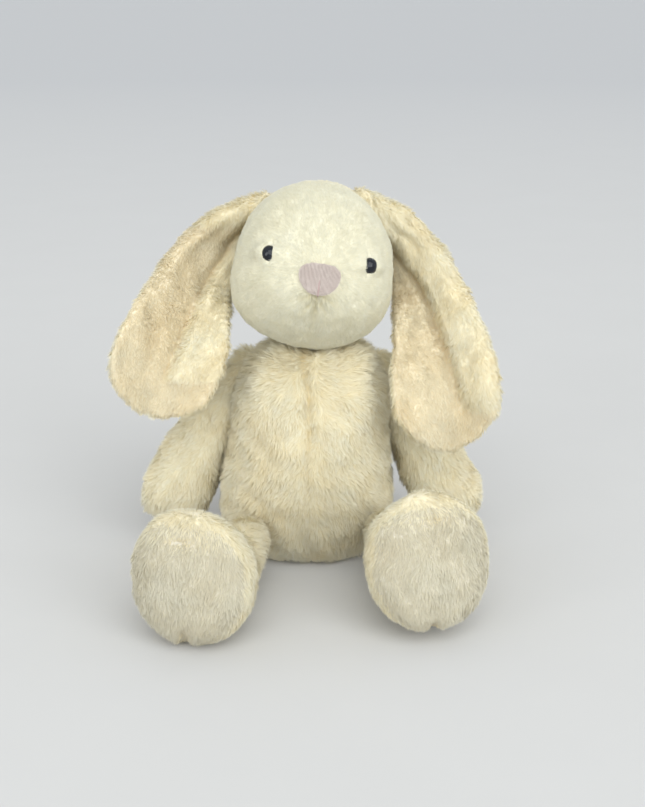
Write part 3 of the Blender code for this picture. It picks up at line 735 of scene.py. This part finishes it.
def head_groom(points, outward):
    away, angle, front = under_the_nose(points)
    flow = unit(points - (NOSE + 4 * MM * NOSE_UP)) + np.array([0, 0.25, -0.12])
    tuft = (1 - step(4 * MM, 13 * MM, away)) * (np.abs(angle) < 1.7) * front
    fold = np.maximum(-gathers(points), muzzle_crease(points, 3 * MM))
    back = step(-0.005, 0.02, points[:, 1])
    length = (3.0 + 0.5 * ripple(points, 0.01, 23)) * MM * (1 + 0.5 * tuft + 0.9 * back)
    ribs = np.sin(points[:, 2] / MM * 4.0) * front
    lift = 0.40 + 0.03 * ripple(points, 0.012, 24) + 0.2 * tuft + 0.15 * back + 0.06 * ribs
    for eye in EYES.values():
        close = near(points, eye, 12 * MM)
        flow = flow + unit(points - eye) * close[:, None] * 1.2
        length *= 1 - 0.4 * close
        lift *= 1 - 0.5 * close
    return {
        "flow": flow,
        "lift": lift,
        "length": length,
        "swirl": 0.15 * ripple(points, 0.012, 25),
        "even": 0.4 + 0.6 * np.maximum(tuft, back),
        # a slight tint that varies at random and with the ribs, and painted shade darkening the strands in the
        # folds under the nose and along the crease to the chin
        "tint_and_crease_shade": 0.08 + 0.32 * np.maximum(fold, 0) + 0.04 * ripple(points, 0.02, 26) + 0.04 * ribs,
    }


def off_the_nose(points):
    """False under the embroidery and the eyes, where no pile shows."""
    x, z, front = on_face(points)
    wide, high = NOSE_HALF_WIDTH - 0.8 * MM, NOSE_HALF_HEIGHT - 0.8 * MM
    clear = (np.abs(x / wide) ** 2.4 + np.abs(z / high) ** 2.4 > 1) | (front < 0)
    for eye in EYES.values():
        sideways, upward, close = beside_eye(points, eye)
        clear &= (np.hypot(sideways / (2.0 * MM), upward / (5.0 * MM)) > 1) | ~close
    return clear


def wants_detail(points):
    """The parts of the face with folds: round the eyes and under the nose."""
    away, _, front = under_the_nose(points)
    chosen = (away < 26 * MM) & front
    for eye in EYES.values():
        chosen |= np.linalg.norm(points - eye, axis=1) < 13 * MM
    return chosen


def dress_head(skin):
    finer(skin, wants_detail, 2)
    push(skin, head_shape)
    stand_for(skin, "head", HEAD_PARTS)

    def behind(points):
        """True for the strands of the back panel, which mix with the face's along the seam."""
        edge = np.random.default_rng(139).uniform(-2 * MM, 14 * MM, len(points))
        return points[:, 1] >= HEAD_SEAM_Y + edge

    sides = {
        "head_left_pile": lambda p, n: ~behind(p) & (p[:, 0] >= NOSE[0]) & off_the_nose(p),
        "head_right_pile": lambda p, n: ~behind(p) & (p[:, 0] < NOSE[0]) & off_the_nose(p),
    }
    for seed, (name, keep) in enumerate(sides.items()):
        pile(name, skin, "head", head_groom, FACE_PILE, 3.8, 0.25 * MM, 140 + seed, keep, tuft=7, pull=0.3)
    pile("head_back_pile", skin, "head", head_groom, PILE, 2.8, 0.30 * MM, 142, lambda p, n: behind(p))


def tube(bm, line, radius, sides=6):
    """A closed round thread along a line of points, thinner at its ends."""
    line = np.asarray(line, float)
    ahead = unit(np.gradient(line, axis=0))
    across = unit(np.cross(ahead, NOSE_OUT))
    up = np.cross(across, ahead)
    angles = [2 * math.pi * s / sides for s in range(sides)]
    rings = []
    for k, point in enumerate(line):
        thin = radius * (0.55 if k in (0, len(line) - 1) else 1.0)
        spokes = [math.cos(a) * across[k] + math.sin(a) * up[k] for a in angles]
        rings.append([bm.verts.new(point + thin * spoke) for spoke in spokes])
    for first, second in zip(rings, rings[1:]):
        for s in range(sides):
            following = (s + 1) % sides
            bm.faces.new((first[s], first[following], second[following], second[s]))
    bm.faces.new(rings[0][::-1])
    bm.faces.new(rings[-1])


def embroidered(name, bm, material):
    """Threads on the nose as one piece."""
    mesh = mesh_from(bm, name)
    shade_smooth(mesh)
    piece = new_object(name, mesh, material)
    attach(piece, "head")


def stitched_nose():
    """Satin stitches side by side over the padded shield, and a darker stitch down the middle."""
    tree = tree_of("nose_embroidery")
    rng = np.random.default_rng(31)
    half_width, half_height = NOSE_HALF_WIDTH + 0.5 * MM, NOSE_HALF_HEIGHT + 1 * MM
    stitches, radius = 34, 0.36 * MM

    def hit(x, z):
        start = NOSE + FACE_X * x + NOSE_UP * z + NOSE_OUT * 20 * MM
        return tree.ray_cast(Vector(start), Vector(-NOSE_OUT), 26 * MM)[0]

    bm = bmesh.new()
    for k in range(stitches):
        share = 2 * (k + 0.5) / stitches - 1
        line = []
        for z in np.linspace(half_height, -half_height, 34):
            fan = 1 + 0.10 * z / half_height
            spot = hit(share * half_width * fan + rng.normal(0, 0.03) * MM, z)
            if spot is not None:
                middle = math.exp(-((share * half_width / MM) ** 2) / 0.35)
                groove = 0.55 * MM * middle * step(0.1, -0.5, z / half_height)
                line.append(np.array(spot) + NOSE_OUT * (0.16 * MM + rng.uniform(0, 0.16) * MM - groove))
        if len(line) > 4:
            ends = rng.uniform(-0.5, 0.5, 2) * MM
            line[0] = line[0] + NOSE_UP * (0.5 * MM + ends[0]) - NOSE_OUT * 0.4 * MM
            line[-1] = line[-1] - NOSE_UP * (0.2 * MM + 0.5 * ends[1]) - NOSE_OUT * 0.4 * MM
            tube(bm, line, radius * rng.uniform(0.9, 1.1))
    embroidered("nose_satin_stitches", bm, PINK)

    bm = bmesh.new()
    for shift in (-0.15, 0.15):
        spots = [hit(shift * MM, z) for z in np.linspace(-0.05 * half_height, -half_height, 18)]
        line = [np.array(s) + NOSE_OUT * 0.22 * MM for s in spots if s is not None]
        tube(bm, line + [line[-1] - NOSE_UP * 0.9 * MM - NOSE_OUT * 0.5 * MM], 0.24 * MM)
    embroidered("nose_centre_stitch", bm, DEEP_PINK)


# ---- ears ----
class Ear:
    """One ear's places: its root, its tip, its two edges at each height, and the fold on its front."""

    # where the fold crosses (-1 at the head, 1 at the outer edge) at shares of the height from the top
    FOLDS = {
        "right": ((0.00, 0.30, 0.40, 0.60, 0.72, 1.00), (-0.95, -0.70, -0.45, -0.23, -0.06, 0.20)),
        "left": ((0.00, 0.15, 0.26, 0.41, 0.53, 0.72, 1.00), (-1.20, -1.00, -0.77, -0.23, 0.00, 0.23, 0.60)),
    }
    RAISED = {"right": -1, "left": 1}  # which side of the fold lies on top: the head's or the outer one

    def __init__(self, side):
        self.side = side
        self.out = 1.0 if side == "left" else -1.0
        self.root = np.array(pivot(f"{side}_ear_lift"))
        self.low, self.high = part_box(f"{side}_ear_back")
        widest = max(abs(self.low.x), abs(self.high.x))
        self.tip = np.array([self.out * widest * 0.9, self.low.y + 6 * MM, self.low.z])
        points = coordinates(frame["nodes"][f"{side}_ear_back"].data)
        self.levels = np.linspace(self.low.z, self.high.z, 16)
        reach = (self.high.z - self.low.z) / 12
        rows = [points[np.abs(points[:, 2] - level) < reach, 0] * self.out for level in self.levels]
        self.inner = np.array([row.min() for row in rows])
        self.outer = np.array([row.max() for row in rows])

    def down(self, points):
        """0 at the top of the ear and 1 at its lowest point."""
        return (self.high.z - points[:, 2]) / (self.high.z - self.low.z)

    def across(self, points):
        """-1 at the edge by the head and 1 at the outer edge."""
        inner = np.interp(points[:, 2], self.levels, self.inner)
        outer = np.interp(points[:, 2], self.levels, self.outer)
        return 2 * (points[:, 0] * self.out - inner) / (outer - inner) - 1

    def fold(self, points):
        """How far a point lies past the fold, on the side that lies on top, as a share of half the width."""
        line = np.interp(self.down(points), *self.FOLDS[self.side])
        return (self.across(points) - line) * self.RAISED[self.side]

    def folded(self, points):
        """1 where the fold is at its fullest, 0 towards the ear's tip."""
        return 1 - step(0.74, 0.88, self.down(points))

    def sewn_in(self, points):
        """How far the upper ear is drawn to the side of the head, and how far its end sinks into it."""
        upper = 1 - step(0.0, 0.30, self.down(points))
        end = 1 - step(0.0, 0.09, self.down(points))
        drawn = upper[:, None] * np.array([-8 * self.out, -8, -4])
        return (drawn + end[:, None] * np.array([-5 * self.out, 5, -3])) * MM

    def plump(self, points, outward):
        """The hollow on the front of the upper ear is stuffed forwards, to lie beside the face."""
        upper = step(0.02, 0.15, self.down(points)) * (1 - step(0.32, 0.60, self.down(points)))
        middle = 1 - step(0.3, 1.0, np.abs(self.across(points)))
        return (upper * middle * step(0.0, 0.5, -outward[:, 1]))[:, None] * np.array([0, -7, 0]) * MM

    def nodes(self):
        return f"{self.side}_ear_lining", f"{self.side}_ear_back"


def dress_ear(ear, skin):
    lining, back = map(tree_of, ear.nodes())

    def in_front(points):
        return np.array([lining.find_nearest(Vector(p))[3] < back.find_nearest(Vector(p))[3] for p in points])

    def is_lining(points):
        down = ear.down(points)
        rim = (ear.fold(points) > 0.05 + 0.08 * ripple(points, 0.005, 48)) & (down < 0.82)
        return in_front(points) & ~rim & (down > 0.18 + 0.02 * ripple(points, 0.006, 49))

    def shape(points, outward):
        root = 1 - step(0.12, 0.50, ear.down(points))
        front = step(0.1, 0.6, -outward[:, 1]) * ear.folded(points)
        past = ear.fold(points)
        roll = step(-0.04, 0.30, past) * (1 - 0.5 * step(0.5, 1.2, past)) * front
        groove = np.exp(-(((past + 0.06) / 0.14) ** 2)) * front * step(0.12, 0.3, ear.down(points))
        return (0.5 + 3.0 * root + 5.5 * roll - 2.0 * groove + 0.5 * ripple(points, 0.02, 41)) * MM

    def groom(points, outward):
        flow = np.tile(unit(ear.tip - ear.root), (len(points), 1)) + np.array([0, 0, -0.4])
        flow[:, 0] += 0.3 * ripple(points, 0.03, 42)
        groove = np.exp(-((ear.fold(points) / 0.10) ** 2)) * (outward[:, 1] < -0.1) * ear.folded(points)
        return {
            "flow": flow,
            "lift": 0.62 + 0.2 * ripple(points, 0.02, 43),
            "length": (4.8 + 0.8 * ripple(points, 0.015, 44)) * MM * (1 - 0.3 * groove),
            "swirl": 0.35 * ripple(points, 0.014, 45),
            # a random tint, and painted shade darkening the strands in the groove along the fold
            "tint_and_crease_shade": 0.12 * ripple(points, 0.03, 46) + 0.35 * groove,
        }

    def lining_groom(points, outward):
        made = groom(points, outward)
        made["length"] = made["length"] * 0.75
        made["lift"] = made["lift"] + 0.25
        made["pull"] = 0.6
        return made

    push(skin, shape)
    points, outward = coordinates(skin.data), normals_of(skin.data)
    place_points(skin.data, points + ear.sewn_in(points) + ear.plump(points, outward))
    # the lining faces take the beige backing, darkened as painted shade of the ear's hollow
    skin.data.materials.append(LINING_BACKING)
    middles, _ = face_middles(skin)
    skin.data.polygons.foreach_set("material_index", is_lining(middles).astype(np.int32))
    body = f"{ear.side}_ear"
    stand_for(skin, body, ear.nodes())
    seed = 160 if ear.side == "right" else 170
    dense, fine = 1.2 * BODY_DENSITY, 0.9 * BODY_WIDTH
    pile(f"{body}_pile", skin, body, groom, PILE, dense, fine, seed, lambda p, n: ~is_lining(p))
    lined = (lining_groom, LINING_PILE, 1.4 * dense, fine, seed + 1, lambda p, n: is_lining(p))
    pile(f"{body}_lining_pile", skin, body, *lined, tuft=6)


# ---- arms and legs ----
class Limb:
    """One limb's places: the joint it hangs from and the way to its end."""

    def __init__(self, side, kind, joint, covers, fillings):
        self.side, self.kind = side, kind
        self.name = f"{side}_{kind}"
        self.root = np.array(pivot(joint))
        self.covers, self.fillings = covers, fillings
        boxes = [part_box(node) for node in covers]
        self.low = np.array([b[0] for b in boxes]).min(0)
        self.high = np.array([b[1] for b in boxes]).max(0)
        to_low, to_high = np.abs(self.low - self.root), np.abs(self.high - self.root)
        self.end = np.where(to_low > to_high, self.low, self.high)

    def skin(self):
        return cover(f"{self.name}_backing", self.covers + self.fillings, BODY_VOXEL, BACKING)


def make_limbs():
    limbs = []
    for side in ("left", "right"):
        panels = (f"{side}_arm_front_panel", f"{side}_arm_back_panel")
        limbs.append(Limb(side, "arm", f"{side}_arm_spread", panels, (f"{side}_arm_filling",)))
        panels = (f"{side}_leg_cover", f"{side}_foot_sole")
        fillings = (f"{side}_leg_filling", f"{side}_foot_bean_bag")
        limbs.append(Limb(side, "leg", f"{side}_leg_splay", panels, fillings))
    return limbs


def dress_arm(limb, skin):
    inward = -1.0 if limb.side == "left" else 1.0
    hand = np.array([limb.end[0] * 0.85, limb.root[1], limb.low[2] + 22 * MM])
    axis = unit(hand - limb.root)
    reach = float(np.linalg.norm(hand - limb.root))

    def shape(points, outward):
        along = (points - limb.root) @ axis / reach
        inner = step(-0.2, 0.8, outward[:, 0] * inward) * step(0.15, 0.5, along)
        shoulder = 1 - step(0.15, 0.5, along)
        return (1.2 + 5.0 * inner + 1.0 * shoulder + 0.8 * ripple(points, 0.02, 51)) * MM

    def groom(points, outward):
        flow = np.tile(axis, (len(points), 1))
        flow = flow + 0.3 * np.stack([ripple(points, 0.03, 52 + k) for k in range(3)], 1)
        return {
            "flow": flow,
            "lift": 0.70 + 0.22 * ripple(points, 0.022, 55),
            "length": (6.0 + 1.0 * ripple(points, 0.016, 56)) * MM,
            "swirl": 0.45 * ripple(points, 0.014, 57),
            "tint_and_crease_shade": 0.08 * ripple(points, 0.03, 58),
        }

    push(skin, shape)
    points = coordinates(skin.data)
    shoulder = 1 - step(0.1, 0.55, (points - limb.root) @ axis / reach)
    place_points(skin.data, points + shoulder[:, None] * np.array([5 * inward, -4, -4]) * MM)
    stand_for(skin, limb.name, limb.covers + limb.fillings)
    seed = 180 if limb.side == "right" else 185
    pile(f"{limb.name}_pile", skin, limb.name, groom, PILE, BODY_DENSITY, BODY_WIDTH, seed)


def dress_leg(limb, skin):
    sole = limb.covers[1]
    low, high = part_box(sole)
    middle = np.array((low + high) / 2)
    axis = unit(middle - limb.root)
    reach = float(np.linalg.norm(middle - limb.root))
    top = max(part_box(limb.covers[0])[1].z, high.z)

    def along(points):
        return (points - limb.root) @ axis / reach

    def on_sole(points, outward):
        upper = step(top - 22 * MM, top - 5 * MM, points[:, 2])
        return step(0.1, 0.8, outward @ axis) * step(0.70, 0.92, along(points)) * (1 - 0.6 * upper)

    def crease(points):
        """The short parting across the top of the sole."""
        sideways, upward = points[:, 0] - middle[0], points[:, 2] - (top - 11 * MM)
        line = np.exp(-((sideways / (8 * MM)) ** 2) - ((upward / (1.6 * MM)) ** 2))
        return line * step(0.7, 0.85, along(points))

    def heel(points):
        """The notch where the seams meet under the sole."""
        sideways, upward = points[:, 0] - middle[0], points[:, 2] - low.z
        notch = np.exp(-((sideways / (3 * MM)) ** 2) - ((upward / (8 * MM)) ** 2))
        return notch * step(0.8, 0.9, along(points))

    def groom(points, outward):
        foot = step(0.55, 0.8, along(points))
        stray = np.stack([ripple(points, 0.028, 62 + k) for k in range(3)], 1)
        flow = np.array([0, 0, -1.0]) + 0.18 * axis + (0.5 - 0.28 * foot)[:, None] * stray
        part = np.maximum(crease(points), heel(points))
        return {
            "flow": flow,
            "lift": 0.74 - 0.30 * foot + (0.18 - 0.08 * foot) * ripple(points, 0.02, 65),
            "length": (6.0 + 1.0 * ripple(points, 0.016, 66)) * MM * (1 - 0.2 * foot) * (1 - 0.3 * part),
            "swirl": 0.3 * ripple(points, 0.013, 67),
            "even": 1 - 0.35 * foot,
            "pull": 1 - 0.35 * foot,
            # a random tint, and painted shade darkening the strands in the crease across the top of the sole
            # and in the heel notch
            "tint_and_crease_shade": 0.08 * ripple(points, 0.03, 68) + 0.5 * part,
        }

    def shape(points, outward):
        return (0.6 - 1.6 * crease(points) - 3.0 * heel(points) + 0.6 * ripple(points, 0.022, 61)) * MM

    push(skin, shape)
    stand_for(skin, limb.name, limb.covers + limb.fillings)
    seed = 190 if limb.side == "right" else 195

    def sole_side(points, outward, draw):
        """True for the strands of the sole, which mix with the leg's along the edge."""
        edge = np.random.default_rng(draw).uniform(0.1, 0.9, len(points))
        return on_sole(points, outward) > edge

    # the sole's backing and strands take the darker, greyer materials, painted shade for the soles
    skin.data.materials.append(SHADED_SOLE_BACKING)
    middles, outward = face_middles(skin)
    skin.data.polygons.foreach_set("material_index", (on_sole(middles, outward) > 0.4).astype(np.int32))

    def plant(name, material, draw, keep):
        pile(name, skin, limb.name, groom, material, BODY_DENSITY, BODY_WIDTH, draw, keep)

    plant(f"{limb.name}_pile", PILE, seed, lambda p, n: ~sole_side(p, n, seed + 1))
    plant(f"{limb.side}_sole_pile", SHADED_SOLE_PILE, seed + 2, lambda p, n: sole_side(p, n, seed + 3))


# ---- what stays of the CAD ----
def finish_cad_nodes():
    finishes = {"eye": BLACK, "nose_embroidery": PINK, "stitching": THREAD, "care_label": SATIN}
    for name, node in frame["nodes"].items():
        for ending, material in finishes.items():
            if name.endswith(ending):
                node.data.materials.clear()
                node.data.materials.append(material)
                shade_smooth(node.data)


# ---- studio ----
FLOOR_RADIUS = 60
SKY = (0.955, 0.985, 1.0, 1)
SKY_STRENGTH = 0.70
LIGHT_COLOUR = (0.96, 0.985, 1.0)
RABBIT_MIDDLE = Vector((0, 0, 0.1))
WINDOW_ANGLE = math.radians(60)
BOX_SIZE = 1.5
# name, place, watts
BOXES = (("key", (1.6, -1.7, 0.5), 17), ("fill", (-1.5, -1.8, 0.5), 17), ("back", (0.5, 2.0, 1.5), 9))
EXPOSURE = 0.03


def studio():
    bm = bmesh.new()
    bmesh.ops.create_circle(bm, cap_ends=True, segments=64, radius=FLOOR_RADIUS)
    floor = new_object("floor", mesh_from(bm, "floor"), floor_material())

    world = bpy.data.worlds.new("studio")
    SCENE.world = world
    world.use_nodes = True
    sky = world.node_tree.nodes["Background"]
    sky.inputs["Color"].default_value = SKY
    sky.inputs["Strength"].default_value = SKY_STRENGTH

    def lamp(name, kind, place, power):
        light = bpy.data.lights.new(name, kind)
        light.energy = power
        light.color = LIGHT_COLOUR
        made = bpy.data.objects.new(name, light)
        made.location = place
        made.rotation_euler = (RABBIT_MIDDLE - Vector(place)).to_track_quat("-Z", "Y").to_euler()
        SCENE.collection.objects.link(made)
        return made

    window = lamp("window", "SUN", (0.45, -1.9, 1.8), 1.75)
    window.data.angle = WINDOW_ANGLE
    for name, place, power in BOXES:
        box = lamp(name, "AREA", place, power)
        box.data.shape = "DISK"
        box.data.size = BOX_SIZE
    # the last box lights the rabbit's back and leaves the floor alone
    unlit = bpy.data.collections.new("unlit_by_back")
    unlit.objects.link(floor)
    box.light_linking.receiver_collection = unlit
    unlit.collection_objects[0].light_linking.link_state = "EXCLUDE"

    SCENE.view_settings.view_transform = "Standard"
    SCENE.view_settings.exposure = EXPOSURE


def camera():
    """At the photograph's viewing angle: a 60 mm lens 0.90 m away, 18 degrees above the horizon."""
    aim, distance, elevation = Vector((0.005, 0, 0.100)), 0.90, math.radians(18)
    data = bpy.data.cameras.new("camera")
    data.lens = 60
    data.sensor_width = 36
    data.clip_start, data.clip_end = 0.05, 100
    view = bpy.data.objects.new("camera", data)
    back = Vector((0, -math.cos(elevation), math.sin(elevation)))
    view.location = aim + back * distance
    view.rotation_euler = (-back).to_track_quat("-Z", "Y").to_euler()
    SCENE.collection.objects.link(view)
    SCENE.camera = view


# ---- everything together ----
def main():
    torso = cover("torso_backing", TORSO_PARTS, BODY_VOXEL, BACKING)
    tail = cover("tail_backing", TAIL_PARTS, 3 * MM, BACKING)
    head = cover("head_backing", HEAD_PARTS, BODY_VOXEL, FACE_BACKING)
    ears = [
        (ear, cover(f"{ear.side}_ear_backing", ear.nodes(), 2.6 * MM, BACKING))
        for ear in (Ear("left"), Ear("right"))
    ]
    limbs = [(limb, limb.skin()) for limb in make_limbs()]
    skins = [torso, tail, head] + [s for _, s in ears] + [s for _, s in limbs]
    free = {skin: np.zeros(len(skin.data.vertices)) for skin in skins}
    jobs = [
        (torso, belly_seam(coordinates(torso.data), 5 * MM), 2.5 * MM),
        (tail, free[tail], 1.5 * MM),
        (head, muzzle_crease(coordinates(head.data), 4 * MM), 1.5 * MM),
    ]
    jobs += [(skin, free[skin], 1.2 * MM) for _, skin in ears]
    jobs += [(skin, free[skin], 2.0 * MM) for _, skin in limbs]
    stuff(jobs)
    for skin in skins:
        refine(skin)
    dress_torso(torso)
    dress_tail(tail)
    dress_head(head)
    stitched_nose()
    for ear, skin in ears:
        dress_ear(ear, skin)
    for limb, skin in limbs:
        (dress_arm if limb.kind == "arm" else dress_leg)(limb, skin)
    finish_cad_nodes()
    studio()
    camera()


main()
